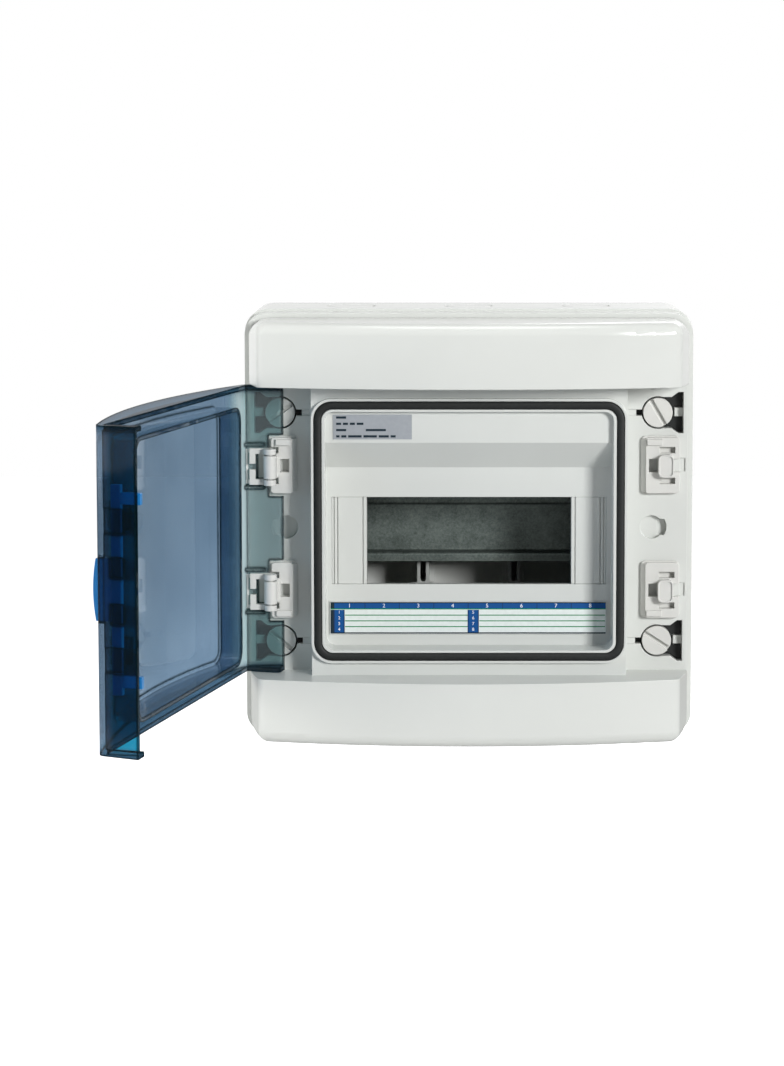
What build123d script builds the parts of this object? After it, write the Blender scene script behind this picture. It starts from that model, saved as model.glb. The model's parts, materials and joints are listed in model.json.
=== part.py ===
"""Surface-mounted distribution box for one row of eight modular devices.

Frame: X to the right, Y into the wall, Z up.  The origin is the centre of the
back face, so the wall is the plane Y = 0 and everything stands at negative Y.
Heights above the wall are named with "_at" and are positive numbers.
The door parts are drawn in their closed places on planes that are already
swung open about the hinge axis.
"""

from build123d import *
import math
import os

os.makedirs("parts", exist_ok=True)

# ---------------------------------------------------------------- driving dims
module = 17.5
modules = 8
device_height = 45.0

cover_x = 112.0
cover_z = 107.0
base_x = 116.5
base_z = 110.5
base_corner = 12.0
cover_corner = 9.0
wall = 2.6

# heights above the wall
base_floor_at = 3.0
base_step_at = 57.0
base_ledge_at = 68.0
base_rim_at = 76.0
cover_back_at = 77.0
cavity_at = 83.2
side_floor_at = 85.6
tub_floor_at = 87.0
shelf_at = 100.0
plateau_at = 101.0
rim_at = 103.4
gasket_at = 104.2
bend_at = 112.6
front_at = 126.0

# bowed front shared by the cover's two bands and the door
bend_x = 106.4
waist_at = 91.0
recess_z = 74.2
plateau_x = 80.2

# tub and window
tub_x = 73.2
tub_z = 61.0
window_x = 70.4
window_top = 15.7
window_bottom = window_top - device_height - 0.1
slant_top = 45.0
slant_bottom = 31.0

# gasket loop: half sizes of its outer edge
gasket_x = 78.9
gasket_z = 66.4
gasket_wide = 4.2

# cover screws
screw_x = 96.7
screw_z = 59.0
screw_head_r = 7.5
screw_head_at = 80.4
screw_top_at = 85.5
shank_r = 3.2
pocket_at = 79.5
pocket_r = 8.4
pocket_seal = 0.9

# key holes half way up the side floors
middle_hole_x = 93.8
middle_hole_r = 6.0
key_r = 7.6

# hinge and catch blocks
block_x = 99.2
block_z = 32.2
block_wide = 17.6
block_tall = 30.0
block_flange = 2.2
block_low = 1.5
block_high = 4.0
tongue_at = side_floor_at + 8.4
knuckle_tall = 11.6
knuckle_r = 3.2
pin_r = 1.45
pin_gap = 0.06

# hinge axis and opening
hinge_x = -101.3
hinge_at = 96.8
open_angle = 103.4

# door
door_x = 111.5
door_z = 73.7
door_edge_at = 92.5
door_wall = 2.4
cap_at = 112.0
rib_x = 78.0
rib_z = 65.3
rib_wide = 2.0
arm_z = 7.5
arm_thick = 2.8

# DIN rail
rail_z = -6.8
rail_front_at = 41.0
rail_deep = 7.5
rail_sheet = 1.0
rail_long = 168.0
rail_bend = 1.3
post_x = 24.3
rail_screw_x = 62.0

# wall fixing
fixing_x = 100.0
fixing_z = 92.0
fixing_r = 2.75

side_signs = (-1, 1)
corner_signs = ((-1, -1), (-1, 1), (1, -1), (1, 1))


def at(height):
    """Sketch plane parallel to the wall: local x is X, local y is Z."""
    return Plane.XZ.offset(height)


def save(piece, label):
    """Label one finished piece and write it."""
    piece.label = label
    export_step(piece, f"parts/{label}.step")


def box_between(x0, x1, z0, z1, low_at, high_at, mode=Mode.ADD):
    """Add or cut a box given by its limits."""
    with BuildSketch(at(low_at)) as profile:
        with Locations(((x0 + x1) / 2, (z0 + z1) / 2)):
            Rectangle(x1 - x0, z1 - z0)
    extrude(profile.sketch, amount=high_at - low_at, mode=mode)


def rounded_between(x, z, radius, low_at, high_at, mode=Mode.ADD, centre=(0, 0)):
    """Add or cut a rounded slab of half sizes x and z."""
    with BuildSketch(at(low_at)) as profile:
        with Locations(centre):
            RectangleRounded(2 * x, 2 * z, radius)
    extrude(profile.sketch, amount=high_at - low_at, mode=mode)


def round_between(x, z, radius, low_at, high_at, mode=Mode.ADD):
    """Add or cut a cylinder standing on the wall."""
    with BuildSketch(at(low_at)) as profile:
        with Locations((x, z)):
            Circle(radius)
    extrude(profile.sketch, amount=high_at - low_at, mode=mode)


def bow_points(inset, side_x):
    """Right-hand corner points of the bowed outline, moved in by inset."""
    lean = (side_x - bend_x) / (bend_at - waist_at)
    slant = math.hypot(1, lean)
    bend = (bend_x - inset * slant + inset * lean, bend_at - inset)
    waist = (side_x - inset * slant, waist_at)
    return bend, waist


def bow_outline(inset, side_x, back_at):
    """Closed outline in the XY plane: straight back, leaning sides, bowed front."""
    bend, waist = bow_points(inset, side_x)
    back_x = waist[0]
    if back_at > waist_at:
        share = (back_at - waist_at) / (bend[1] - waist_at)
        back_x = waist[0] + share * (bend[0] - waist[0])
    with BuildLine() as outline:
        Line((-back_x, -back_at), (back_x, -back_at))
        if back_at < waist_at:
            Line((back_x, -back_at), (waist[0], -waist_at))
            Line((-back_x, -back_at), (-waist[0], -waist_at))
            Line((waist[0], -waist_at), (bend[0], -bend[1]))
            Line((-waist[0], -waist_at), (-bend[0], -bend[1]))
        else:
            Line((back_x, -back_at), (bend[0], -bend[1]))
            Line((-back_x, -back_at), (-bend[0], -bend[1]))
        ThreePointArc((-bend[0], -bend[1]), (0, inset - front_at), (bend[0], -bend[1]))
    make_face(outline.edges())


def front_corners(sketch):
    """The two vertices where the leaning sides meet the bow."""
    return sketch.vertices().group_by(Axis.Y)[0]


# ------------------------------------------------------------------- base box
with BuildPart() as base_box:
    rounded_between(base_x, base_z, base_corner, 0, base_step_at)
    rounded_between(base_x - 1.2, base_z - 1.2, base_corner - 1.2, base_step_at, base_rim_at)
    rounded_between(base_x - 3.2, base_z - 3.2, base_corner - 3, base_floor_at, base_ledge_at,
                    mode=Mode.SUBTRACT)
    rounded_between(cover_x - 4, cover_z - 4, 6, base_floor_at, base_rim_at, mode=Mode.SUBTRACT)
    # groove that takes the cover seal
    with BuildSketch(at(base_rim_at)):
        RectangleRounded(2 * (cover_x - 0.4), 2 * (cover_z - 0.4), cover_corner - 0.4)
        RectangleRounded(2 * (cover_x - 2.4), 2 * (cover_z - 2.4), cover_corner - 2.4,
                         mode=Mode.SUBTRACT)
    extrude(amount=-2, mode=Mode.SUBTRACT)
    for sx, sz in corner_signs:
        # cover-screw posts, each with a bore for the quarter-turn lug
        rounded_between(7, 7, 2, base_floor_at, 70, centre=(sx * screw_x, sz * screw_z))
        round_between(sx * screw_x, sz * screw_z, 5.2, 40, 70, mode=Mode.SUBTRACT)
        # wall-fixing sleeves
        round_between(sx * fixing_x, sz * fixing_z, 6, base_floor_at, 9)
        round_between(sx * fixing_x, sz * fixing_z, fixing_r, 0, 9, mode=Mode.SUBTRACT)
    # feet under the rail supports and the terminal holder
    for sx in side_signs:
        box_between(sx * post_x - 6, sx * post_x + 6, rail_z - 34, rail_z + 30, base_floor_at, 6)
        box_between(sx * 48 - 5, sx * 48 + 5, 66, 88, base_floor_at, 8)
    # shallow knock-out rings for cable entries, above and below
    for level in (Plane.XY.offset(base_z), Plane.XY.offset(-base_z)):
        with BuildSketch(level):
            with GridLocations(62, 1, 3, 1):
                with Locations((0, -31)):
                    Circle(12.75)
                    Circle(11.75, mode=Mode.SUBTRACT)
        extrude(amount=-0.8 if level.origin.Z > 0 else 0.8, mode=Mode.SUBTRACT)
    fillet(base_box.faces().sort_by(Axis.Y)[-1].outer_wire().edges(), 2)
save(base_box.part, "base_box")

# ----------------------------------------------------------------- cover seal
with BuildPart() as cover_seal:
    with BuildSketch(at(base_rim_at - 2)):
        RectangleRounded(2 * (cover_x - 0.5), 2 * (cover_z - 0.5), cover_corner - 0.5)
        RectangleRounded(2 * (cover_x - 2.3), 2 * (cover_z - 2.3), cover_corner - 2.3,
                         mode=Mode.SUBTRACT)
    extrude(amount=cover_back_at - base_rim_at + 2)
save(cover_seal.part, "cover_seal")

# ---------------------------------------------------------------- front cover
with BuildPart() as band_cavity:
    with BuildSketch(Plane.XY.offset(-cover_z + wall)) as cavity_sketch:
        bow_outline(wall, cover_x, cover_back_at)
        fillet(front_corners(cavity_sketch), 3)
    extrude(amount=2 * (cover_z - wall))
    box_between(-cover_x, cover_x, -recess_z - wall, recess_z + wall, cavity_at, 130,
                mode=Mode.SUBTRACT)

with BuildPart() as tub:
    with BuildSketch(Plane.YZ.offset(-tub_x)):
        with BuildLine():
            Polyline((-tub_floor_at, -tub_z), (-tub_floor_at, slant_bottom), (-shelf_at, slant_top),
                     (-shelf_at, tub_z), (-110, tub_z), (-110, -tub_z), close=True)
        make_face()
    extrude(amount=2 * tub_x)
    rounded_between(tub_x, tub_z, 5, 80, 115, mode=Mode.INTERSECT)


def screw_pocket(sx, sz, gap, low_at, high_at, mode):
    """Keyhole: round for the screw, flaring out to the side, with a notch inwards."""
    half = 8 - gap
    flare = 10.6 - gap
    with BuildSketch(at(low_at)) as profile:
        with Locations((sx * screw_x, sz * screw_z)):
            Circle(pocket_r - gap)
        with Locations((sx * 88, sz * screw_z)):
            Rectangle(4.8 - gap, 3.2 - gap)
        with BuildLine():
            Polyline((sx * screw_x, sz * screw_z - half), (sx * 103.6, sz * screw_z - half),
                     (sx * 107.2, sz * screw_z - flare), (sx * (109.8 - gap), sz * screw_z - flare),
                     (sx * (109.8 - gap), sz * screw_z + flare), (sx * 107.2, sz * screw_z + flare),
                     (sx * 103.6, sz * screw_z + half), (sx * screw_x, sz * screw_z + half),
                     close=True)
        make_face()
    extrude(profile.sketch, amount=high_at - low_at, mode=mode)


with BuildPart() as front_cover:
    with BuildSketch(Plane.XY.offset(-cover_z)) as cover_sketch:
        bow_outline(0, cover_x, cover_back_at)
        fillet(front_corners(cover_sketch), 5)
    extrude(amount=2 * cover_z)
    rounded_between(cover_x, cover_z, cover_corner, 70, 130, mode=Mode.INTERSECT)
    fillet(front_cover.edges().filter_by(GeomType.LINE, reverse=True)
           .filter_by(lambda e: abs(abs(e.center().Z) - cover_z) < 0.1 and e.center().Y < -110), 6)
    # recess for the door: the sides lower than the plateau
    box_between(-120, 120, -recess_z, recess_z, plateau_at, 130, mode=Mode.SUBTRACT)
    for sx in side_signs:
        inner, outer = sorted((sx * plateau_x, sx * 120))
        box_between(inner, outer, -recess_z, recess_z, side_floor_at, 130, mode=Mode.SUBTRACT)
    add(band_cavity.part, mode=Mode.SUBTRACT)
    # hollow behind the shelf
    box_between(-76, 76, 48, recess_z, cavity_at - 1, shelf_at - 2.4, mode=Mode.SUBTRACT)
    # rim walls of the gasket channel
    with BuildSketch(at(plateau_at)):
        RectangleRounded(2 * plateau_x, 2 * (gasket_z + 1.3), 10.5)
        RectangleRounded(2 * gasket_x, 2 * gasket_z, 9.3, mode=Mode.SUBTRACT)
    extrude(amount=rim_at - plateau_at)
    with BuildSketch(at(plateau_at)):
        RectangleRounded(2 * (gasket_x - gasket_wide), 2 * (gasket_z - gasket_wide), 5.6)
        RectangleRounded(2 * tub_x, 2 * tub_z, 4.6, mode=Mode.SUBTRACT)
    extrude(amount=rim_at - plateau_at)
    add(tub.part, mode=Mode.SUBTRACT)
    box_between(-window_x, window_x, window_bottom, window_top, 80, 90, mode=Mode.SUBTRACT)
    for sx, sz in corner_signs:
        # wells under the pockets, then the pockets with a rib and a shallow lead-in
        rounded_between(13.3, 12.2, 2, pocket_at - 2.4, cavity_at + 0.5,
                        centre=(sx * 97.5, sz * screw_z))
        screw_pocket(sx, sz, 0, pocket_at, 100, Mode.SUBTRACT)
        round_between(sx * screw_x, sz * screw_z, shank_r + 0.08, 70, 85, mode=Mode.SUBTRACT)
        rib = sorted((sx * 105.4, sx * 109.8))
        box_between(rib[0], rib[1], sz * screw_z - 2.2, sz * screw_z + 2.2, pocket_at,
                    pocket_at + 2.2)
        lead_in = sorted((sx * 81.4, sx * 86))
        box_between(lead_in[0], lead_in[1], sz * screw_z - 1.6, sz * screw_z + 1.6,
                    side_floor_at - 0.7, 90, mode=Mode.SUBTRACT)
    for sx in side_signs:
        # blind round hole half way up each side floor, with a key slot on its outer side
        round_between(sx * middle_hole_x, 0, key_r + 2.2, 79.8, cavity_at + 0.5)
        round_between(sx * middle_hole_x, 0, middle_hole_r, 82.6, 90, mode=Mode.SUBTRACT)
        with BuildSketch(at(81.6)):
            with Locations((sx * middle_hole_x, 0)):
                Circle(key_r)
            with Locations((sx * (middle_hole_x + 7.2), 0)):
                Rectangle(9, 8.4, mode=Mode.INTERSECT)
        extrude(amount=10, mode=Mode.SUBTRACT)
        for sz in side_signs:
            groove = sorted((sx * 108.1, sx * 110.8))
            box_between(groove[0], groove[1], sz * block_z - 3.4, sz * block_z + 3.4,
                        side_floor_at - 0.7, 90, mode=Mode.SUBTRACT)
            # blind hole under the square hole of each block
            foot_hole = sorted((sx * 92.2, sx * 96.4))
            box_between(foot_hole[0], foot_hole[1], sz * block_z - 3.2, sz * block_z + 3.2,
                        side_floor_at - 1.3, 90, mode=Mode.SUBTRACT)
save(front_cover.part, "front_cover")

# ---------------------------------------------------------------- door gasket
with BuildPart() as door_gasket:
    with BuildSketch(at(plateau_at)):
        RectangleRounded(2 * (gasket_x - 0.1), 2 * (gasket_z - 0.1), 9.2)
        RectangleRounded(2 * (gasket_x - gasket_wide + 0.1), 2 * (gasket_z - gasket_wide + 0.1),
                         5.7, mode=Mode.SUBTRACT)
    extrude(amount=gasket_at - plateau_at)
save(door_gasket.part, "door_gasket")

# ------------------------------------------------------ window blanking strips
blank_low_at = tub_floor_at - 1.6
for side_name, sx in (("left", -1), ("right", 1)):
    with BuildPart() as window_blank:
        inner, outer = sorted((sx * modules * module * 3 / 8, sx * (window_x - 0.1)))
        box_between(inner, outer, window_bottom + 0.1, window_top - 0.1, blank_low_at,
                    tub_floor_at - 0.3)
        # fine lines along the sides, where a strip can be cut to width
        for line_x in (54.4, 67.4, 69.2):
            box_between(sx * line_x - 0.25, sx * line_x + 0.25, window_bottom, window_top,
                        tub_floor_at - 0.9, tub_floor_at, mode=Mode.SUBTRACT)
        # return flange beside the devices and two snap feet behind the floor
        flange = sorted((sx * 52.5, sx * 53.7))
        box_between(flange[0], flange[1], window_bottom + 0.1, window_top - 0.1, 76, blank_low_at)
        for foot_z in (window_bottom + 4, window_top - 10):
            box_between(sx * 61 - 4, sx * 61 + 4, foot_z, foot_z + 6, 80, blank_low_at)
    save(window_blank.part, f"window_blank_{side_name}")

# ------------------------------------------------------------ labels and plate
label_x = -0.4
label_half = 71.1
label_top = -38.3
label_bottom = -55.3
with BuildPart() as label_carrier:
    box_between(label_x - label_half, label_x + label_half, label_bottom, label_top, tub_floor_at,
                tub_floor_at + 0.9)
    box_between(label_x - label_half + 0.3, label_x + label_half - 0.3, label_bottom + 0.3,
                label_top - 0.3, tub_floor_at + 0.5, tub_floor_at + 1, mode=Mode.SUBTRACT)
save(label_carrier.part, "label_carrier")

with BuildPart() as label_card:
    box_between(label_x - label_half + 0.4, label_x + label_half - 0.4, label_bottom + 0.4,
                label_top - 0.4, tub_floor_at + 0.5, tub_floor_at + 0.9)
save(label_card.part, "label_card")

with BuildPart() as rating_plate:
    box_between(-69, -29, 46.8, 59.4, shelf_at, shelf_at + 0.3)
save(rating_plate.part, "rating_plate")


# ---------------------------------------------------- hinge and catch blocks
def block(sx, sz, label, is_hinge):
    """One socket block snapped into the side floor: a hinge left, a catch right."""
    inner_x = block_x - block_wide / 2
    outer_x = block_x + block_wide / 2
    plateau_end = 101.2 if is_hinge else outer_x - 0.4
    bar_at = side_floor_at + block_high + 1.3
    foot_x = inner_x - block_flange
    with BuildPart() as socket:
        rounded_between((outer_x - foot_x) / 2, block_tall / 2, 2.6, side_floor_at,
                        side_floor_at + block_low,
                        centre=(sx * (outer_x + foot_x) / 2, sz * block_z))
        rounded_between((plateau_end - inner_x) / 2, block_tall / 2 - 0.7, 1.6, side_floor_at,
                        side_floor_at + block_high,
                        centre=(sx * (plateau_end + inner_x) / 2, sz * block_z))
        # sloped side towards the middle of the box
        with BuildSketch(Plane.XY.offset(sz * block_z - block_tall / 2 + 1.4)):
            with BuildLine():
                Polyline((sx * (foot_x + 0.2), -side_floor_at - block_low),
                         (sx * (inner_x + 1), -side_floor_at - block_low),
                         (sx * (inner_x + 1), -side_floor_at - block_high),
                         (sx * (inner_x + 0.4), -side_floor_at - block_high), close=True)
            make_face()
        extrude(amount=block_tall - 2.8)
        if is_hinge:
            # tongue round the foot of the knuckle, and the knuckle that holds the hinge pins
            rounded_between(4.4, knuckle_tall / 2, 2.6, side_floor_at,
                            side_floor_at + block_high + 1.4, centre=(sx * 100.1, sz * block_z))
            with BuildSketch(Plane.XY.offset(sz * block_z - knuckle_tall / 2)):
                with Locations((hinge_x, -hinge_at)):
                    Circle(knuckle_r)
                with Locations((hinge_x, -(side_floor_at + hinge_at) / 2)):
                    Rectangle(2 * knuckle_r, hinge_at - side_floor_at)
            extrude(amount=knuckle_tall)
            with BuildSketch(Plane.XY.offset(sz * block_z - knuckle_tall / 2)):
                with Locations((hinge_x, -hinge_at)):
                    Circle(pin_r + pin_gap)
            extrude(amount=knuckle_tall, mode=Mode.SUBTRACT)
        else:
            # plain tongue with a raised lip, and a notch that the slack of the hook passes
            rounded_between(4, knuckle_tall / 2, 2.6, side_floor_at, tongue_at,
                            centre=(sx * 100.6, sz * block_z))
            rounded_between(3.2, knuckle_tall / 2 - 0.8, 1.8, tongue_at - 0.7, tongue_at,
                            centre=(sx * 100.6, sz * block_z), mode=Mode.SUBTRACT)
            notch = sorted((sx * 104.8, sx * 109))
            box_between(notch[0], notch[1], sz * block_z - 3.4, sz * block_z + 3.4, side_floor_at,
                        95, mode=Mode.SUBTRACT)
        # square hole towards the middle of the box, open to the snap foot
        hole = sorted((sx * 92, sx * 96.6))
        box_between(hole[0], hole[1], sz * block_z - 3.4, sz * block_z + 3.4, 80, 95,
                    mode=Mode.SUBTRACT)
        # two slots that take the arms or the latch hooks
        slot = sorted((sx * 97.4, sx * 105.4))
        for arm_side in side_signs:
            slot_z = sz * block_z + arm_side * (arm_z + 0.4)
            box_between(slot[0], slot[1], slot_z - 1.6, slot_z + 1.6, side_floor_at + 0.5, 95,
                        mode=Mode.SUBTRACT)
        # small raised bar at the end away from the middle hole
        bar = sorted((sx * 91, sx * 98.8))
        bar_middle = sz * (block_z + 11.9)
        box_between(bar[0], bar[1], bar_middle - 1.5, bar_middle + 1.5, side_floor_at,
                    bar_at)
    save(socket.part, label)


block(-1, 1, "hinge_block_upper", True)
block(-1, -1, "hinge_block_lower", True)
block(1, 1, "catch_block_upper", False)
block(1, -1, "catch_block_lower", False)

# --------------------------------------------------------------- cover screws
screw_names = {(-1, 1): "upper_left", (1, 1): "upper_right",
               (-1, -1): "lower_left", (1, -1): "lower_right"}
slot_angles = {"upper_left": 35, "upper_right": -60, "lower_left": -40, "lower_right": -33}

for (sx, sz), screw_name in screw_names.items():
    with BuildPart() as cover_screw:
        round_between(sx * screw_x, sz * screw_z, screw_head_r, screw_head_at, screw_top_at)
        round_between(sx * screw_x, sz * screw_z, shank_r, 50, screw_head_at)
        with BuildSketch(at(50)):
            with Locations((sx * screw_x, sz * screw_z)):
                Rectangle(9.2, 4, rotation=slot_angles[screw_name])
        extrude(amount=3)
        with BuildSketch(at(screw_top_at)):
            with Locations((sx * screw_x, sz * screw_z)):
                Rectangle(16, 2.3, rotation=slot_angles[screw_name])
        extrude(amount=-1.8, mode=Mode.SUBTRACT)
    save(cover_screw.part, f"cover_screw_{screw_name}")

with BuildPart() as screw_seals:
    for sx, sz in corner_signs:
        screw_pocket(sx, sz, 0.25, pocket_at, pocket_at + pocket_seal, Mode.ADD)
        round_between(sx * screw_x, sz * screw_z, 3.6, pocket_at, 85, mode=Mode.SUBTRACT)
        rib = sorted((sx * 105.1, sx * 110))
        box_between(rib[0], rib[1], sz * screw_z - 2.5, sz * screw_z + 2.5, pocket_at, 85,
                    mode=Mode.SUBTRACT)
save(screw_seals.part, "screw_seals")

# ------------------------------------------------------------------- DIN rail
rail_half = 17.5
hat_outer = 13.5
rail_back_at = rail_front_at - rail_deep
with BuildPart() as din_rail:
    # half of the folded profile, from the lip to the middle of the web
    with BuildSketch(Plane.YZ.offset(-rail_long / 2)):
        with BuildLine():
            for sz in side_signs:
                FilletPolyline((-rail_front_at + rail_sheet / 2, rail_z + sz * rail_half),
                               (-rail_front_at + rail_sheet / 2, rail_z + sz * (hat_outer - rail_sheet / 2)),
                               (-rail_back_at - rail_sheet / 2, rail_z + sz * (hat_outer - rail_sheet / 2)),
                               (-rail_back_at - rail_sheet / 2, rail_z),
                               radius=rail_bend)
        trace(line_width=rail_sheet)
    extrude(amount=rail_long)
    # slots beyond the window, for the rail screws
    with BuildSketch(at(rail_back_at - 2)):
        for slot_x in (-rail_screw_x, rail_screw_x):
            with Locations((slot_x, rail_z)):
                SlotOverall(12, 4.4)
        for slot_x in (-78, 78):
            with Locations((slot_x, rail_z)):
                SlotOverall(8, 4.4)
    extrude(amount=6, mode=Mode.SUBTRACT)
save(din_rail.part, "din_rail")

for side_name, sx in (("left", -1), ("right", 1)):
    with BuildPart() as rail_support:
        box_between(sx * post_x - 3.2, sx * post_x + 3.2, rail_z - 32, rail_z + 28, 6,
                    rail_back_at - 2)
        # adjusting slot that shows below the rail
        with BuildSketch(at(8)):
            with Locations((sx * post_x, rail_z - 22)):
                SlotOverall(16, 3, rotation=90)
        extrude(amount=40, mode=Mode.SUBTRACT)
        # arm behind the rail that carries its screw
        arm = sorted((sx * (post_x - 3.2), sx * (rail_screw_x + 6)))
        box_between(arm[0], arm[1], rail_z - 7, rail_z + 7, rail_back_at - 8, rail_back_at)
        round_between(sx * rail_screw_x, rail_z, 1.7, 18, 40, mode=Mode.SUBTRACT)
    save(rail_support.part, f"rail_support_{side_name}")

with BuildPart() as rail_screws:
    for sx in side_signs:
        round_between(sx * rail_screw_x, rail_z, 1.65, rail_back_at - 10, rail_back_at + rail_sheet)
        round_between(sx * rail_screw_x, rail_z, 4, rail_back_at + rail_sheet,
                      rail_back_at + rail_sheet + 2.4)
        with BuildSketch(at(rail_back_at + rail_sheet + 2.4)):
            with Locations((sx * rail_screw_x, rail_z)):
                Rectangle(10, 1)
        extrude(amount=-1.2, mode=Mode.SUBTRACT)
save(rail_screws.part, "rail_screws")

# ------------------------------------------------------------ terminal blocks
bar_z = 77.0
with BuildPart() as terminal_holder:
    box_between(-58, 58, bar_z - 9, bar_z + 9, 8, 12)
    for end_x in (-56, -1.5, 53):
        box_between(end_x, end_x + 3, bar_z - 7, bar_z + 7, 12, 24)
save(terminal_holder.part, "terminal_holder")

for bar_name, bar_x in (("earth", -27.25), ("neutral", 27.25)):
    hole_xs = [bar_x + step * 8 for step in range(-2, 3)]
    with BuildPart() as terminal_bar:
        box_between(bar_x - 25.5, bar_x + 25.5, bar_z - 4, bar_z + 4, 12, 22)
        with BuildSketch(Plane.XY.offset(bar_z - 4)):
            for hole_x in hole_xs:
                with Locations((hole_x, -15.5)):
                    Circle(2.4)
        extrude(amount=8, mode=Mode.SUBTRACT)
        for hole_x in hole_xs:
            round_between(hole_x, bar_z, 2.2, 15.5, 23, mode=Mode.SUBTRACT)
    save(terminal_bar.part, f"{bar_name}_bar")
    with BuildPart() as terminal_screws:
        for hole_x in hole_xs:
            round_between(hole_x, bar_z, 2.1, 18.2, 23.4)
            box_between(hole_x - 2.6, hole_x + 2.6, bar_z - 0.4, bar_z + 0.4, 22.4, 24,
                        mode=Mode.SUBTRACT)
    save(terminal_screws.part, f"{bar_name}_screws")

# ----------------------------------------------------------------------- door
swing = math.radians(open_angle)
along = (math.cos(swing), -math.sin(swing), 0)
inward = (math.sin(swing), math.cos(swing), 0)
door_origin = (hinge_x - along[0] * hinge_x + inward[0] * hinge_at,
               -hinge_at - along[1] * hinge_x + inward[1] * hinge_at, 0)
door_flat = Plane(origin=door_origin, x_dir=along, z_dir=(0, 0, 1))
door_face = Plane(origin=door_origin, x_dir=along, z_dir=(-inward[0], -inward[1], 0))


def door_box(x0, x1, z0, z1, low_at, high_at, mode=Mode.ADD):
    """Box in the closed door's own places."""
    with BuildSketch(door_face.offset(low_at)) as profile:
        with Locations(((x0 + x1) / 2, (z0 + z1) / 2)):
            Rectangle(x1 - x0, z1 - z0)
    extrude(profile.sketch, amount=high_at - low_at, mode=mode)


with BuildPart() as door_rib:
    with BuildSketch(door_face.offset(gasket_at + 0.3)):
        RectangleRounded(2 * rib_x, 2 * rib_z, 8)
        RectangleRounded(2 * (rib_x - rib_wide), 2 * (rib_z - rib_wide), 6, mode=Mode.SUBTRACT)
    extrude(amount=22)
    # lugs that guide the latch bar: a long pair beside the rib and four at the outer wall
    for sz in side_signs:
        door_box(79, 82, sz * 30.8 - 6.4, sz * 30.8 + 6.4, 106, 126)
        door_box(103, 112, sz * 31 - 5.6, sz * 31 + 5.6, 100.5, 122)
        door_box(103, 112, sz * 10.4 - 4.6, sz * 10.4 + 4.6, 100.5, 107)
    with BuildSketch(door_flat.offset(-door_z)):
        bow_outline(1, door_x, door_edge_at)
    extrude(amount=2 * door_z, mode=Mode.INTERSECT)

# ribs that run up the leaning hinge wall, half a wall's thickness inside its outer face
clip_rib_offset = 11.0
clip_rib_thick = 1.5
clip_rib_deep = 3.4
clip_rib_from = 101.0
clip_rib_to = bend_at - 1
door_lean = (door_x - bend_x) / (bend_at - waist_at)
clip_rib_foot = bend_x + door_lean * (bend_at - clip_rib_from) - door_wall / 2
clip_rib_head = bend_x + door_lean * (bend_at - clip_rib_to) - door_wall / 2

with BuildPart() as door_panel:
    with BuildSketch(door_flat.offset(-door_z)):
        bow_outline(0, door_x, door_edge_at)
    extrude(amount=2 * door_z)
    bend_edges = door_panel.edges().filter_by(Axis.Z).sort_by_distance(
        door_flat.from_local_coords((0, -200, 0)))[:2]
    fillet(bend_edges, 4.6)
    with BuildSketch(door_flat.offset(-door_z + door_wall)):
        bow_outline(door_wall, door_x, door_edge_at - 5)
    extrude(amount=2 * (door_z - door_wall), mode=Mode.SUBTRACT)
    # the end caps stop above the plateau
    for sz in side_signs:
        cap_z = sorted((sz * (door_z - door_wall - 0.1), sz * (door_z + 1)))
        door_box(-103.2, 103.2, cap_z[0], cap_z[1], door_edge_at - 3, cap_at - 2, mode=Mode.SUBTRACT)
    add(door_rib.part)
    for sz in side_signs:
        # notches in the hinge wall round each block
        door_box(-114, -103, sz * block_z - 15.8, sz * block_z + 15.8, door_edge_at - 3, 99.6,
                 mode=Mode.SUBTRACT)
        door_box(-114, -103, sz * block_z - 6.3, sz * block_z + 6.3, door_edge_at - 3, 105,
                 mode=Mode.SUBTRACT)
        # ribs on the hinge wall, above and below each clip
        for rib_side in side_signs:
            clip_rib_z = sz * block_z + rib_side * clip_rib_offset
            with BuildSketch(door_flat.offset(clip_rib_z - clip_rib_thick / 2)):
                with BuildLine():
                    Polyline((-clip_rib_foot, -clip_rib_from),
                             (-clip_rib_foot + clip_rib_deep, -clip_rib_from),
                             (-clip_rib_head + clip_rib_deep, -clip_rib_to),
                             (-clip_rib_head, -clip_rib_to), close=True)
                make_face()
            extrude(amount=clip_rib_thick)
    # slot for the latch handle
    door_box(97.6, 103.4, -14.8, 14.8, 108, 122, mode=Mode.SUBTRACT)
save(door_panel.part, "door_panel")

# ---------------------------------------------------------------- hinge clips
# With the door open its hinge wall lies parallel to the mounting wall, so the
# clips are drawn in their open places.
clip_back_at = hinge_at - 5.6
clip_high = 3.4
clip_reach = 10.6
arm_offset = arm_z + 0.4
pin_start = knuckle_tall / 2 - 2.6

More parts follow.
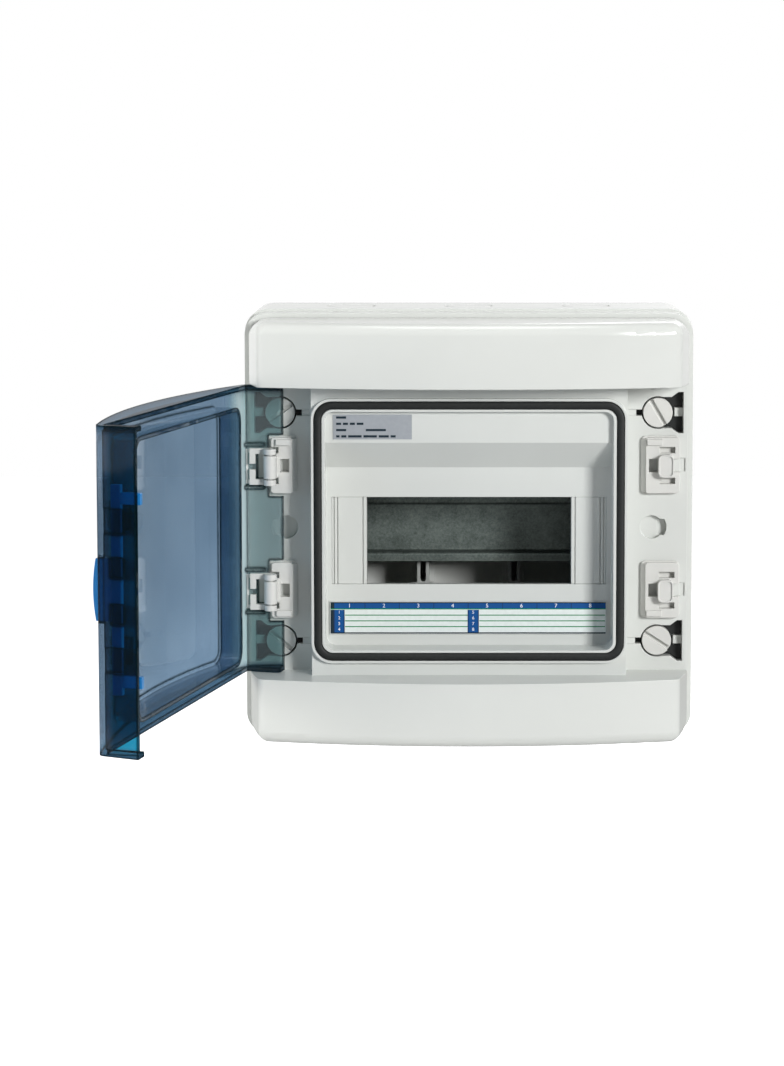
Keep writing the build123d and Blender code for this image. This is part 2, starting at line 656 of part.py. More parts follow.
for level, sz in (("upper", 1), ("lower", -1)):
    centre_z = sz * block_z
    with BuildPart() as hinge_clip:
        for arm_side in side_signs:
            arm_centre = centre_z + arm_side * arm_offset
            with BuildSketch(Plane.XY.offset(arm_centre - arm_thick / 2)):
                with Locations((hinge_x, -hinge_at)):
                    Circle(3.1)
                with Locations((hinge_x - clip_reach / 2, -clip_back_at - clip_high / 2)):
                    Rectangle(clip_reach, clip_high)
                with Locations((hinge_x - 1.55, -hinge_at + 1.9)):
                    Rectangle(3.1, 4.2)
            extrude(amount=arm_thick)
            # pin that turns in the knuckle
            with BuildSketch(Plane.XY.offset(centre_z + arm_side * pin_start)):
                with Locations((hinge_x, -hinge_at)):
                    Circle(pin_r)
            extrude(amount=arm_side * (arm_offset - pin_start))
            # L-shaped end towards the other arm
            end_z = sorted((centre_z + arm_side * 1.5, arm_centre))
            box_between(hinge_x - clip_reach, hinge_x - clip_reach + 3, end_z[0], end_z[1],
                        clip_back_at, clip_back_at + clip_high)
            box_between(hinge_x - clip_reach - 2, hinge_x - clip_reach, arm_centre - 0.9,
                        arm_centre + 0.9, clip_back_at, clip_back_at + 1.2)
        # foot strip that joins the two arms on the door's wall
        box_between(hinge_x - clip_reach - 1.9, hinge_x - clip_reach - 0.8, centre_z - arm_offset,
                    centre_z + arm_offset, clip_back_at, clip_back_at + 1.2)
    save(hinge_clip.part, f"hinge_clip_{level}")

# ---------------------------------------------------------------------- latch
latch_x = 100.6
hook_at = 93.4
grip_at = 114.9
with BuildPart() as latch_bar:
    door_box(latch_x - 1.6, latch_x + 1.6, -47, 47, 103, 107.4)
    for sz in side_signs:
        # hook with a lip, which stands beside the catch block's tongue when the door is shut
        hook_z = sz * (block_z + knuckle_tall / 2 + 3)
        door_box(latch_x - 1.4, latch_x + 1.4, hook_z - 2.6, hook_z + 2.6, hook_at + 1.2, 103)
        door_box(latch_x - 0.6, latch_x + 2.2, hook_z - 2.6, hook_z + 2.6, hook_at, hook_at + 1.6)
save(latch_bar.part, "latch_bar")

grip_plane = Plane(origin=door_face.from_local_coords((latch_x - 1.3, 0, 0)),
                   x_dir=(0, 0, 1), z_dir=along)
with BuildPart() as latch_handle:
    door_box(latch_x - 1.3, latch_x + 1.3, -14, 14, 107.4, 114)
    # finger grip: a long low arc standing out of the front face
    with BuildSketch(grip_plane):
        with BuildLine():
            Line((-14, 114), (14, 114))
            Line((14, 114), (14, grip_at))
            ThreePointArc((14, grip_at), (0, grip_at + 1.3), (-14, grip_at))
            Line((-14, grip_at), (-14, 114))
        make_face()
    extrude(amount=2.6)
save(latch_handle.part, "latch_handle")
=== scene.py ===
"""Looks of the breaker panel box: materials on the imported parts, printed labels and the studio."""

import json
import math

import bpy
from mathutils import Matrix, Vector


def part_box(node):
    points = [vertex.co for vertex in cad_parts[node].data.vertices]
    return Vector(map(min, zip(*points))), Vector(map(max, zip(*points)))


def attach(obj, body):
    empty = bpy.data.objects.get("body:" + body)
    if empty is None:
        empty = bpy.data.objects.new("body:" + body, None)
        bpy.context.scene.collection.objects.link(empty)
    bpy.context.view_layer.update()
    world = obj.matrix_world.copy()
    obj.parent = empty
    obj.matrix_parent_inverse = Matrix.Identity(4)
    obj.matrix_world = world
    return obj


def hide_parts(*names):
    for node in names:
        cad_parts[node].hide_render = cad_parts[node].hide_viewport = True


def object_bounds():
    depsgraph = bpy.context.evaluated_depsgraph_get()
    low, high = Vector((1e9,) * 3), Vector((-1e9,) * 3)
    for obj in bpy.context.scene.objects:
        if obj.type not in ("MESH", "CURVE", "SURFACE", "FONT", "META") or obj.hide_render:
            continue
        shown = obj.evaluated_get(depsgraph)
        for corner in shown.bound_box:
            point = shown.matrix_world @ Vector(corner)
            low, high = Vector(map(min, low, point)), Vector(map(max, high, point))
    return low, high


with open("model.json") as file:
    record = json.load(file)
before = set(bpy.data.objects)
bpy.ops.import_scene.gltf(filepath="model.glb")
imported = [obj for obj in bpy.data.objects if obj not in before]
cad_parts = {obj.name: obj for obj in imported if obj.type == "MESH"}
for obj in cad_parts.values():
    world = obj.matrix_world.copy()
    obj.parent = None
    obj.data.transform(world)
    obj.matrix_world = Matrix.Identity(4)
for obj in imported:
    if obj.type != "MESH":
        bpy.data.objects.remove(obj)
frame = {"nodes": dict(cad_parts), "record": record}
cad_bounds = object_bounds()
nodes = frame["nodes"]
MM = 0.001


# ---------------------------------------------------------------- node helpers
def new_material(name):
    """A material with nodes, and its Principled shader."""
    material = bpy.data.materials.new(name)
    material.use_nodes = True
    shader = material.node_tree.nodes["Principled BSDF"]
    return material, shader


def opaque(colour, brightness=1.0):
    """A red, green, blue colour made lighter or darker, with full alpha."""
    return (*[min(1, part * brightness) for part in colour], 1)


def arithmetic(tree, operation, first, *others):
    """One Math node; its other inputs are outputs of nodes or plain numbers."""
    node = tree.nodes.new("ShaderNodeMath")
    node.operation = operation
    tree.links.new(first, node.inputs[0])
    for socket, value in zip(list(node.inputs)[1:], others):
        if isinstance(value, (int, float)):
            socket.default_value = value
        else:
            tree.links.new(value, socket)
    return node.outputs["Value"]


def mix_colour(tree, factor, first, second):
    """Mix from the colour of another node to a plain colour."""
    mix = tree.nodes.new("ShaderNodeMix")
    mix.data_type = "RGBA"
    tree.links.new(factor, mix.inputs["Factor"])
    tree.links.new(first, mix.inputs["A"])
    mix.inputs["B"].default_value = second
    return mix.outputs["Result"]


def mix_shader(tree, factor, first, second):
    """Mix of two shader outputs by a node's output or a plain number."""
    mix = tree.nodes.new("ShaderNodeMixShader")
    if isinstance(factor, float):
        mix.inputs["Fac"].default_value = factor
    else:
        tree.links.new(factor, mix.inputs["Fac"])
    tree.links.new(first, mix.inputs[1])
    tree.links.new(second, mix.inputs[2])
    return mix.outputs["Shader"]


def object_noise(material, scale, detail=4.0, roughness=0.5):
    """Noise in the object's own space; the scale counts its cells per metre."""
    tree = material.node_tree
    where = tree.nodes.new("ShaderNodeTexCoord")
    noise = tree.nodes.new("ShaderNodeTexNoise")
    noise.inputs["Scale"].default_value = scale
    noise.inputs["Detail"].default_value = detail
    noise.inputs["Roughness"].default_value = roughness
    tree.links.new(where.outputs["Object"], noise.inputs["Vector"])
    return noise.outputs["Fac"]


def ramp_between(material, source, low, high, start=0.3, end=0.7):
    """Colour that runs from low to high as the source runs from start to end."""
    tree = material.node_tree
    ramp = tree.nodes.new("ShaderNodeValToRGB")
    ramp.color_ramp.elements[0].position = start
    ramp.color_ramp.elements[1].position = end
    ramp.color_ramp.elements[0].color = low
    ramp.color_ramp.elements[1].color = high
    tree.links.new(source, ramp.inputs["Fac"])
    return ramp.outputs["Color"]


def vary_roughness(material, shader, noise, low, high):
    """Roughness that wanders between low and high."""
    tree = material.node_tree
    spread = tree.nodes.new("ShaderNodeMapRange")
    spread.inputs["To Min"].default_value = low
    spread.inputs["To Max"].default_value = high
    tree.links.new(noise, spread.inputs["Value"])
    tree.links.new(spread.outputs["Result"], shader.inputs["Roughness"])


def add_bump(material, shader, noise, distance, strength):
    """Fine relief from a noise; returns its Bump node."""
    tree = material.node_tree
    bump = tree.nodes.new("ShaderNodeBump")
    bump.inputs["Distance"].default_value = distance
    bump.inputs["Strength"].default_value = strength
    tree.links.new(noise, bump.inputs["Height"])
    tree.links.new(bump.outputs["Normal"], shader.inputs["Normal"])
    return bump


def rounded_normal(material, radius):
    """Normal that runs smoothly over edges, as if they were rounded by the radius."""
    bevel = material.node_tree.nodes.new("ShaderNodeBevel")
    bevel.samples = 6
    bevel.inputs["Radius"].default_value = radius
    return bevel.outputs["Normal"]


def edge_mask(material, radius, full_below, clear_above):
    """0 on open faces, rising to 1 where the rounded normal leans away from the face's own."""
    tree = material.node_tree
    geometry = tree.nodes.new("ShaderNodeNewGeometry")
    along = tree.nodes.new("ShaderNodeVectorMath")
    along.operation = "DOT_PRODUCT"
    tree.links.new(rounded_normal(material, radius), along.inputs[0])
    tree.links.new(geometry.outputs["Normal"], along.inputs[1])
    mask = tree.nodes.new("ShaderNodeMapRange")
    mask.inputs["From Min"].default_value = clear_above
    mask.inputs["From Max"].default_value = full_below
    tree.links.new(along.outputs["Value"], mask.inputs["Value"])
    return mask.outputs["Result"]


def object_place(material, axis, absolute=False):
    """Place along an axis of the object's own space, or its distance from zero."""
    tree = material.node_tree
    where = tree.nodes.new("ShaderNodeTexCoord")
    split = tree.nodes.new("ShaderNodeSeparateXYZ")
    tree.links.new(where.outputs["Object"], split.inputs["Vector"])
    place = split.outputs[axis]
    if absolute:
        place = arithmetic(tree, "ABSOLUTE", place)
    return place


def place_mask(material, axis, clear_at, full_at, absolute=False):
    """0 to 1 from one place to another along an axis."""
    tree = material.node_tree
    mask = tree.nodes.new("ShaderNodeMapRange")
    mask.inputs["From Min"].default_value = clear_at
    mask.inputs["From Max"].default_value = full_at
    tree.links.new(object_place(material, axis, absolute), mask.inputs["Value"])
    return mask.outputs["Result"]


# ------------------------------------------------------------------- materials
moulded_edge = 0.5 * MM


def moulded_plastic(name, colour, roughness):
    """Moulded plastic: faint cloudiness, a painted highlight that makes the edges paler, fine grain,
    slightly uneven gloss.
    """
    material, shader = new_material(name)
    tree = material.node_tree
    cloud = object_noise(material, scale=14, detail=3)
    ramp = ramp_between(material, cloud, opaque(colour, 0.98), opaque(colour, 1.02))
    # painted highlight: the base colour turns paler along the edges
    edge = edge_mask(material, moulded_edge, full_below=0.8, clear_above=0.98)
    tree.links.new(mix_colour(tree, edge, ramp, opaque(colour, 1.08)), shader.inputs["Base Color"])
    fine = object_noise(material, scale=900, detail=2)
    vary_roughness(material, shader, cloud, roughness - 0.04, roughness + 0.05)
    bump = add_bump(material, shader, fine, distance=0.02 * MM, strength=0.35)
    tree.links.new(rounded_normal(material, moulded_edge), bump.inputs["Normal"])
    shader.inputs["IOR"].default_value = 1.52
    shader.inputs["Specular IOR Level"].default_value = 0.36
    return material


def rubber_material():
    """Black sealing rubber with a dusty mottling; on the pads in the screw pockets its black also stands in
    for painted shade in the pockets.
    """
    material, shader = new_material("seal_rubber")
    mottle = object_noise(material, scale=700, detail=5, roughness=0.7)
    ramp = ramp_between(material, mottle, (0.003, 0.004, 0.004, 1), (0.013, 0.015, 0.014, 1),
                        start=0.35, end=0.75)
    material.node_tree.links.new(ramp, shader.inputs["Base Color"])
    vary_roughness(material, shader, mottle, 0.45, 0.75)
    shader.inputs["Specular IOR Level"].default_value = 0.3
    add_bump(material, shader, mottle, distance=0.1 * MM, strength=0.5)
    return material


def galvanised_material():
    """Galvanised steel: fine sandy grain under faint cloudy patches."""
    material, shader = new_material("galvanised_steel")
    tree = material.node_tree
    grain = object_noise(material, scale=800, detail=6, roughness=0.8)
    cloud = object_noise(material, scale=90, detail=4, roughness=0.6)
    mix = tree.nodes.new("ShaderNodeMix")
    mix.inputs["Factor"].default_value = 0.3
    tree.links.new(grain, mix.inputs["A"])
    tree.links.new(cloud, mix.inputs["B"])
    ramp = ramp_between(material, mix.outputs["Result"], (0.045, 0.058, 0.052, 1), (0.15, 0.178, 0.165, 1),
                        start=0.36, end=0.64)
    tree.links.new(ramp, shader.inputs["Base Color"])
    shader.inputs["Metallic"].default_value = 0.7
    vary_roughness(material, shader, grain, 0.4, 0.65)
    add_bump(material, shader, grain, distance=0.12 * MM, strength=0.6)
    return material


def metal_material(name, colour, roughness):
    """Plated or plain metal with fine turning marks."""
    material, shader = new_material(name)
    grain = object_noise(material, scale=1200, detail=3)
    ramp = ramp_between(material, grain, opaque(colour, 0.85), opaque(colour))
    material.node_tree.links.new(ramp, shader.inputs["Base Color"])
    shader.inputs["Metallic"].default_value = 1
    vary_roughness(material, shader, grain, roughness - 0.05, roughness + 0.1)
    add_bump(material, shader, grain, distance=0.03 * MM, strength=0.4)
    return material


def printed_material(name, colour, roughness):
    """Ink or card with a fibre grain."""
    material, shader = new_material(name)
    fibre = object_noise(material, scale=500, detail=4)
    ramp = ramp_between(material, fibre, opaque(colour, 0.93), opaque(colour))
    material.node_tree.links.new(ramp, shader.inputs["Base Color"])
    vary_roughness(material, shader, fibre, roughness, roughness + 0.15)
    add_bump(material, shader, fibre, distance=0.01 * MM, strength=0.3)
    shader.inputs["Specular IOR Level"].default_value = 0.2
    return material


# ----------------------------------------------------------------- tinted pane
# distances from an end of the open door at which a zone starts and is full
flap_start = 16 * MM
flap_full = 9 * MM
bend_start = 17.5 * MM
bend_full = 21 * MM
closing_side_start = 17 * MM
closing_side_full = 11 * MM
closing_flat_start = 4.5 * MM
closing_flat_full = 7.5 * MM
rim_start = 5 * MM
rim_full = 1 * MM
# distances from the door's middle height
painted_reflection_start = 52 * MM
painted_reflection_full = 24 * MM
large_lug_middle = 31 * MM
large_lug_half = 5.6 * MM
small_lug_middle = 10.4 * MM
small_lug_half = 4.6 * MM
door_edge = 2.4 * MM


def door_zones(material):
    """Masks of the places at which the door changes its look, in its own open position."""
    tree = material.node_tree
    low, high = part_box("door_panel")
    closing_side = place_mask(material, "Y", low.y + closing_side_start, low.y + closing_side_full)
    closing_flat = place_mask(material, "X", low.x + closing_flat_start, low.x + closing_flat_full)
    closing_wall = arithmetic(tree, "MULTIPLY", closing_side, closing_flat)
    # the lugs behind the closing wall make the plastic thick there
    height = object_place(material, "Z", absolute=True)
    large_lug = arithmetic(tree, "COMPARE", height, large_lug_middle, large_lug_half)
    small_lug = arithmetic(tree, "COMPARE", height, small_lug_middle, small_lug_half)
    lugs = arithmetic(tree, "MAXIMUM", large_lug, small_lug)
    return {
        "hinge_flap": place_mask(material, "Y", high.y - flap_start, high.y - flap_full),
        "hinge_bend": place_mask(material, "X", high.x - bend_start, high.x - bend_full),
        "middle": place_mask(material, "Z", painted_reflection_start, painted_reflection_full, absolute=True),
        "closing_wall": closing_wall,
        "rim": place_mask(material, "Z", high.z - rim_start, high.z - rim_full, absolute=True),
        "lugs": arithmetic(tree, "MULTIPLY", lugs, closing_wall),
        "edge": edge_mask(material, door_edge, full_below=0.88, clear_above=0.992),
    }


def pane_tint(material, smear, zones):
    """Colour that one face of the door lets through."""
    tint = ramp_between(material, smear, (0.40, 0.50, 0.60, 1), (0.44, 0.54, 0.64, 1))
    # painted light: the paler tint on the hinge flap brightens it along with the painted reflection there
    zone_tints = (("hinge_flap", (0.57, 0.70, 0.71, 1)), ("closing_wall", (0.09, 0.45, 0.58, 1)),
                  ("rim", (0.16, 0.27, 0.36, 1)), ("lugs", (0.05, 0.26, 0.38, 1)))
    for zone, colour in zone_tints:
        tint = mix_colour(material.node_tree, zones[zone], tint, colour)
    return tint


def mirror_share(tree, zones):
    """Part of the light that a face mirrors: Schlick's curve, the same from both of its sides."""
    straight_on = 0.04
    facing = tree.nodes.new("ShaderNodeLayerWeight")
    facing.inputs["Blend"].default_value = 0.5
    grazing = arithmetic(tree, "POWER", facing.outputs["Facing"], 5)
    share = arithmetic(tree, "MULTIPLY_ADD", grazing, 1 - straight_on, straight_on)
    for zone, loss in (("edge", 0.85), ("closing_wall", 0.6), ("rim", 0.75)):
        kept = arithmetic(tree, "MULTIPLY_ADD", zones[zone], -loss, 1)
        share = arithmetic(tree, "MULTIPLY", share, kept)
    return share


def diffuse(tree, colour):
    """Plain dull colour."""
    shader = tree.nodes.new("ShaderNodeBsdfDiffuse")
    shader.inputs["Color"].default_value = colour
    return shader.outputs["BSDF"]


def haze_share(tree, zones):
    """Share of a milky diffuse painted on the flap by the hinges: a painted reflection at middle height and
    a painted highlight along its bend.
    """
    anywhere = 0.025
    at_middle = 0.15
    at_bend = 0.32
    painted_reflection = arithmetic(tree, "MULTIPLY_ADD", zones["middle"], at_middle, anywhere)
    painted_reflection = arithmetic(tree, "MULTIPLY_ADD", zones["hinge_bend"], at_bend, painted_reflection)
    return arithmetic(tree, "MULTIPLY", painted_reflection, zones["hinge_flap"])


def tinted_pane_material():
    """Blue-grey clear plastic: each face passes its tint and mirrors more at a grazing angle."""
    material, shader = new_material("tinted_pane")
    tree = material.node_tree
    smear = object_noise(material, scale=30, detail=3)
    zones = door_zones(material)
    teal_share = 0.06
    clear = tree.nodes.new("ShaderNodeBsdfTransparent")
    tree.links.new(pane_tint(material, smear, zones), clear.inputs["Color"])
    # a little of the light stays in the plastic: dark teal; the milky diffuse by the hinges is painted
    # reflection and highlight
    shader.inputs["Base Color"].default_value = (0.015, 0.07, 0.10, 1)
    shader.inputs["Roughness"].default_value = 0.12
    body = mix_shader(tree, teal_share, clear.outputs["BSDF"], shader.outputs["BSDF"])
    body = mix_shader(tree, haze_share(tree, zones), body, diffuse(tree, (0.62, 0.68, 0.70, 1)))
    # painted shade: edges trap the light and look nearly black, so near-black is painted on them
    body = mix_shader(tree, zones["edge"], body, diffuse(tree, (0.002, 0.008, 0.011, 1)))
    mirror = tree.nodes.new("ShaderNodeBsdfGlossy")
    mirror.inputs["Color"].default_value = (0.95, 0.98, 1, 1)
    mirror.inputs["Roughness"].default_value = 0.03
    skin = mix_shader(tree, mirror_share(tree, zones), body, mirror.outputs["BSDF"])
    ripple = add_bump(material, shader, smear, distance=0.2 * MM, strength=0.15)
    tree.links.new(ripple.outputs["Normal"], mirror.inputs["Normal"])
    tree.links.new(skin, tree.nodes["Material Output"].inputs["Surface"])
    return material


# -------------------------------------------------------- finishes of the parts
materials = {
    "grey_housing": moulded_plastic("grey_housing", (0.60, 0.615, 0.59), roughness=0.19),
    "socket_grey": moulded_plastic("socket_grey", (0.60, 0.60, 0.575), roughness=0.34),
    "support_grey": moulded_plastic("support_grey", (0.33, 0.345, 0.33), roughness=0.45),
    "seal_rubber": rubber_material(),
    "clear_carrier": moulded_plastic("clear_carrier", (0.62, 0.64, 0.63), roughness=0.25),
    "label_card": printed_material("label_card", (0.72, 0.77, 0.75), roughness=0.45),
    "rating_label": printed_material("rating_label", (0.33, 0.35, 0.375), roughness=0.35),
    "galvanised_steel": galvanised_material(),
    "zinc_screw": metal_material("zinc_screw", (0.62, 0.63, 0.64), roughness=0.3),
    "brass_bar": metal_material("brass_bar", (0.72, 0.53, 0.24), roughness=0.3),
    "tinted_pane": tinted_pane_material(),
    "latch_blue": moulded_plastic("latch_blue", (0.02, 0.19, 0.48), roughness=0.28),
}
ink_blue = printed_material("ink_blue", (0.004, 0.07, 0.25), roughness=0.5)
ink_green = printed_material("ink_green", (0.01, 0.22, 0.07), roughness=0.4)
ink_white = printed_material("ink_white", (0.85, 0.87, 0.9), roughness=0.4)
ink_dark = printed_material("ink_dark", (0.008, 0.02, 0.03), roughness=0.4)
ink_navy = printed_material("ink_navy", (0.006, 0.035, 0.12), roughness=0.4)

slot_of = {part["node"]: part["material_slot"] for part in frame["record"]["subparts"]}
for node_name, node in nodes.items():
    node.data.materials.clear()
    node.data.materials.append(materials[slot_of[node_name]])


# ---------------------------------------------------------------- mesh helpers
def mesh_piece(name, vertices, faces, material, smooth=False):
    """A mesh object from plain lists, in metres."""
    mesh = bpy.data.meshes.new(name)
    mesh.from_pydata([tuple(v) for v in vertices], [], faces)
    mesh.update()
    piece = bpy.data.objects.new(name, mesh)
    bpy.context.scene.collection.objects.link(piece)
    mesh.materials.append(material)
    for polygon in mesh.polygons:
        polygon.use_smooth = smooth
    return piece


def on_enclosure(piece):
    """The piece rides on the enclosure."""
    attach(piece, "enclosure")


def print_bars(name, rectangles, surface_y, thick, ink):
    """Bars of ink on a surface that faces the front: each rectangle is (x0, x1, z0, z1)."""
    vertices = []
    faces = []
    for x0, x1, z0, z1 in rectangles:
        start = len(vertices)
        for y in (surface_y, surface_y - thick):
            vertices += [(x0, y, z0), (x1, y, z0), (x1, y, z1), (x0, y, z1)]
        for side in ((4, 5, 6, 7), (3, 2, 1, 0), (0, 1, 5, 4), (1, 2, 6, 5), (2, 3, 7, 6), (3, 0, 4, 7)):
            faces.append([start + i for i in side])
    on_enclosure(mesh_piece(name, vertices, faces, ink))


def print_number(name, number, x, y, z, size, ink):
    """One number on the label, centred at x and z, facing the front."""
    curve = bpy.data.curves.new(name, "FONT")
    curve.body = str(number)
    curve.size = size
    curve.align_x = "CENTER"
    curve.align_y = "CENTER"
    curve.extrude = 0.02 * MM
    letter = bpy.data.objects.new(name, curve)
    bpy.context.scene.collection.objects.link(letter)
    letter.rotation_euler = (math.pi / 2, 0, 0)
    letter.location = (x, y, z)
    bpy.context.view_layer.update()
    mesh = bpy.data.meshes.new_from_object(letter)
    mesh.transform(letter.matrix_world)
    bpy.data.objects.remove(letter)
    piece = bpy.data.objects.new(name, mesh)
    bpy.context.scene.collection.objects.link(piece)
    mesh.materials.clear()
    mesh.materials.append(ink)
    on_enclosure(piece)


# --------------------------------------------------------------- printed label
card_low, card_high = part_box("label_card")
card_left = card_low.x
card_right = card_high.x
card_bottom = card_low.z
card_top = card_high.z
module_count = 8
pitch = (card_right - card_left) / module_count
middle_x = card_left + module_count / 2 * pitch
header_tall = 3.2 * MM
header_bottom = card_top - header_tall
dark_end = card_left + 1.9 * MM
columns = ((dark_end, card_left + 6.9 * MM), (middle_x, middle_x + 5.2 * MM))

top_line = 0.5 * MM
foot_line = 0.6 * MM
green_line_half = 0.25 * MM
header_line_half = 0.2 * MM
column_line_half = 0.3 * MM
column_lap = 0.3 * MM

row_count = 4
row_field_top = header_bottom - 2 * green_line_half
row_field_margin = foot_line + 2 * green_line_half
row_tall = (header_bottom - card_bottom - row_field_margin) / row_count
row_left_gap = 0.5 * MM
row_right_gap = 0.3 * MM
column_top = row_field_top - 0.2 * MM
header_number_size = 2.8 * MM
header_number_x = 0.55 * pitch
header_number_z = (header_bottom + card_top) / 2 - 0.2 * MM
row_number_size = 2.3 * MM

# a colour that lies over another stands a little higher
blue_thick = 0.05 * MM
green_thick = 0.7 * blue_thick
dark_thick = 1.1 * blue_thick
navy_thick = 1.3 * blue_thick
number_y = card_low.y - 1.6 * blue_thick


def row_line(row):
    """Height of the line above a row of the writing field."""
    return row_field_top - row * row_tall


def print_on_card(name, rectangles, thick, ink):
    """Bars of one ink on the label card."""
    print_bars(name, rectangles, card_low.y, thick, ink)


blue_fields = [(dark_end, card_right, header_bottom, card_top - top_line)]
for column_left, column_right in columns:
    blue_fields.append((column_left, column_right, card_bottom + column_lap, column_top))
print_on_card("label_blue_fields", blue_fields, blue_thick, ink_blue)

dark_lines = [(card_left, card_right, card_top - top_line, card_top),
              (card_left, dark_end, header_bottom, card_top - top_line),
              (card_left, dark_end, card_bottom + foot_line, column_top),
              (card_left, card_right, card_bottom, card_bottom + foot_line)]
print_on_card("label_dark_lines", dark_lines, dark_thick, ink_dark)

separators = []
for module in range(1, module_count):
    border = card_left + module * pitch
    separators.append((border - header_line_half, border + header_line_half,
                       header_bottom, card_top - top_line))
for column in columns:
    for border in column:
        separators.append((border - column_line_half, border + column_line_half,
                           card_bottom + foot_line, column_top))
print_on_card("label_separators", separators, navy_thick, ink_navy)

green_lines = [(card_left, card_right, row_field_top, header_bottom)]
for (column_left, column_right), field_end in zip(columns, (middle_x, card_right)):
    for row in range(1, row_count):
        green_lines.append((column_right + row_left_gap, field_end - row_right_gap,
                            row_line(row) - green_line_half, row_line(row) + green_line_half))
print_on_card("label_green_lines", green_lines, green_thick, ink_green)

for module in range(module_count):
    print_number(f"label_number_{module + 1}", module + 1, card_left + module * pitch + header_number_x,
                 number_y, header_number_z, header_number_size, ink_white)
for column_index, (column_left, column_right) in enumerate(columns):
    for row in range(row_count):
        number = column_index * row_count + row + 1
        print_number(f"label_row_{number}", number, (column_left + column_right) / 2,
                     number_y, row_line(row + 0.5), row_number_size, ink_white)

# -------------------------------------------------------------- rating sticker
plate_low, plate_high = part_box("rating_plate")
left_margin = 1.6 * MM
top_margin = 0.9 * MM
bar_row_pitch = 3.2 * MM
bar_tall = 1.15 * MM
letter_wide = 0.85 * MM
letters_between = 1.1
wide_gap = 9 * MM
bar_thick = 0.04 * MM
# letters in each word of each row; a word without letters is a wide gap
rows_of_words = ((6,), (3, 3, 3, 4), (6, 0, 12), (2, 3, 8, 8, 6, 3))

word_bars = []
for row, words in enumerate(rows_of_words):
    x = plate_low.x + left_margin
    z = plate_high.z - top_margin - row * bar_row_pitch
    for letters in words:
        if letters:
            word_bars.append((x, x + letters * letter_wide, z - bar_tall, z))
            x += (letters + letters_between) * letter_wide
        else:
            x += wide_gap
print_bars("rating_bars", word_bars, plate_low.y, bar_thick, ink_dark)


# ---------------------------------------------------------------------- gasket
def rounded_loop(half_x, half_z, radius, steps=14):
    """Points of a rounded rectangle with the outward direction at each."""
    points = []
    for corner, (sx, sz) in enumerate(((1, 1), (-1, 1), (-1, -1), (1, -1))):
        centre = Vector((sx * (half_x - radius), 0, sz * (half_z - radius)))
        for step in range(steps + 1):
            angle = math.pi / 2 * (corner + step / steps)
            direction = Vector((math.cos(angle), 0, math.sin(angle)))
            points.append((centre + direction * radius, direction))
    return points


def crowned_profile(half_wide, back_y, front_y, crown, steps=12):
    """Section of a cord as (outward, y) points: a flat back, straight sides and a crowned front."""
    section = [(-half_wide, back_y)]
    for step in range(steps + 1):
        angle = math.pi * step / steps
        fall = crown * (1 - math.sin(angle) ** 0.7)
        section.append((-half_wide * math.cos(angle), front_y + fall))
    section.append((half_wide, back_y))
    return section


def swept_loop(name, path, profile, material):
    """Sweep a closed profile of (outward, y) points round a loop."""
    vertices = []
    for point, direction in path:
        for outward, y in profile:
            vertices.append(point + direction * outward + Vector((0, y, 0)))
    count = len(profile)
    faces = []
    for ring in range(len(path)):
        after = (ring + 1) % len(path)
        for i in range(count):
            j = (i + 1) % count
            faces.append((ring * count + i, ring * count + j, after * count + j, after * count + i))
    return mesh_piece(name, vertices, faces, material, smooth=True)


gasket_low, gasket_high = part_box("door_gasket")
gasket_half_wide = 2.0 * MM
gasket_corner = 7.4 * MM
gasket_path = rounded_loop(gasket_high.x - gasket_half_wide, gasket_high.z - gasket_half_wide, gasket_corner)
gasket_profile = crowned_profile(gasket_half_wide, gasket_high.y, gasket_low.y, crown=1.1 * MM)
gasket = swept_loop("gasket_cord", gasket_path, gasket_profile, materials["seal_rubber"])
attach(gasket, "enclosure")
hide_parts("door_gasket")


# ---------------------------------------------------------------------- studio
light_target = Vector((0, -0.08, 0))


def studio_light(name, azimuth, elevation, distance, size, power):
    """A square soft light aimed at the box: azimuth to the right, elevation up, in degrees."""
    data = bpy.data.lights.new(name, "AREA")
    data.shape = "SQUARE"
    data.size = size
    data.energy = power
    turn = math.radians(azimuth)
    rise = math.radians(elevation)
    away = Vector((math.sin(turn) * math.cos(rise), -math.cos(turn) * math.cos(rise), math.sin(rise)))
    lamp = bpy.data.objects.new(name, data)
    lamp.location = away * distance
    lamp.rotation_euler = (light_target - away * distance).to_track_quat("-Z", "Y").to_euler()
    bpy.context.scene.collection.objects.link(lamp)
    return lamp


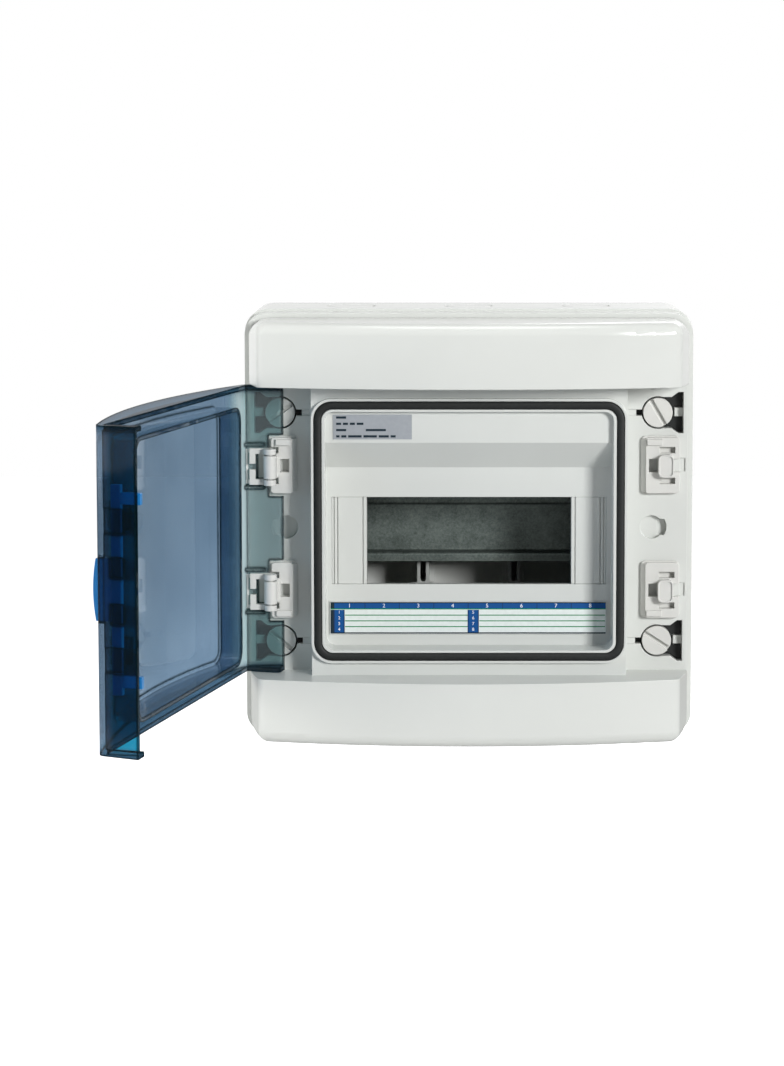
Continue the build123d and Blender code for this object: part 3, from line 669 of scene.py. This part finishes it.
def studio_world():
    """White for the camera and for reflections, dim for the light that falls on surfaces."""
    world = bpy.data.worlds.new("studio")
    bpy.context.scene.world = world
    world.use_nodes = True
    tree = world.node_tree
    dim = tree.nodes["Background"]
    dim.inputs["Color"].default_value = (1, 1, 1, 1)
    dim.inputs["Strength"].default_value = 0.07
    white = tree.nodes.new("ShaderNodeBackground")
    white.inputs["Color"].default_value = (1, 1, 1, 1)
    white.inputs["Strength"].default_value = 1.0
    ray = tree.nodes.new("ShaderNodeLightPath")
    seen = arithmetic(tree, "MAXIMUM", ray.outputs["Is Camera Ray"], ray.outputs["Is Glossy Ray"])
    both = mix_shader(tree, seen, dim.outputs["Background"], white.outputs["Background"])
    tree.links.new(both, tree.nodes["World Output"].inputs["Surface"])


def floor_material():
    """Glowing white where the camera sees it, plain grey for the light that it throws back."""
    material, shader = new_material("pale_floor")
    tree = material.node_tree
    shader.inputs["Base Color"].default_value = (0.9, 0.9, 0.9, 1)
    shader.inputs["Roughness"].default_value = 0.9
    shader.inputs["Emission Color"].default_value = (1, 1, 1, 1)
    shader.inputs["Emission Strength"].default_value = 0.86
    ray = tree.nodes.new("ShaderNodeLightPath")
    grey = diffuse(tree, (0.6, 0.6, 0.6, 1))
    both = mix_shader(tree, ray.outputs["Is Camera Ray"], grey, shader.outputs["BSDF"])
    tree.links.new(both, tree.nodes["Material Output"].inputs["Surface"])
    return material


studio_light("key", azimuth=36, elevation=14, distance=3.0, size=0.65, power=81)
side_fill = studio_light("left", azimuth=-76, elevation=6, distance=2.0, size=1.4, power=42)
side_fill.visible_glossy = False
studio_light("top", azimuth=5, elevation=80, distance=1.8, size=0.8, power=12.5)
studio_light("back", azimuth=160, elevation=30, distance=2.4, size=1.2, power=16)
studio_world()

floor_drop = 0.35
floor_half = 4.0
floor_z = cad_bounds[0].z - floor_drop
floor_corners = [(x * floor_half, y * floor_half, floor_z) for x, y in ((-1, -1), (1, -1), (1, 1), (-1, 1))]
floor = mesh_piece("floor", floor_corners, [(0, 1, 2, 3)], floor_material())

# ---------------------------------------------------------------------- camera
look_down = math.radians(5.155)
camera_data = bpy.data.cameras.new("camera")
camera_data.sensor_width = 36
camera_data.lens = 97.5
camera_data.shift_x = -0.0627
camera_data.shift_y = -0.13
camera = bpy.data.objects.new("camera", camera_data)
camera.location = (-0.0052, -1.556, 0.201)
camera.rotation_euler = (math.pi / 2 - look_down, 0, 0)
bpy.context.scene.collection.objects.link(camera)
bpy.context.scene.camera = camera
bpy.context.scene.view_settings.view_transform = "Standard"
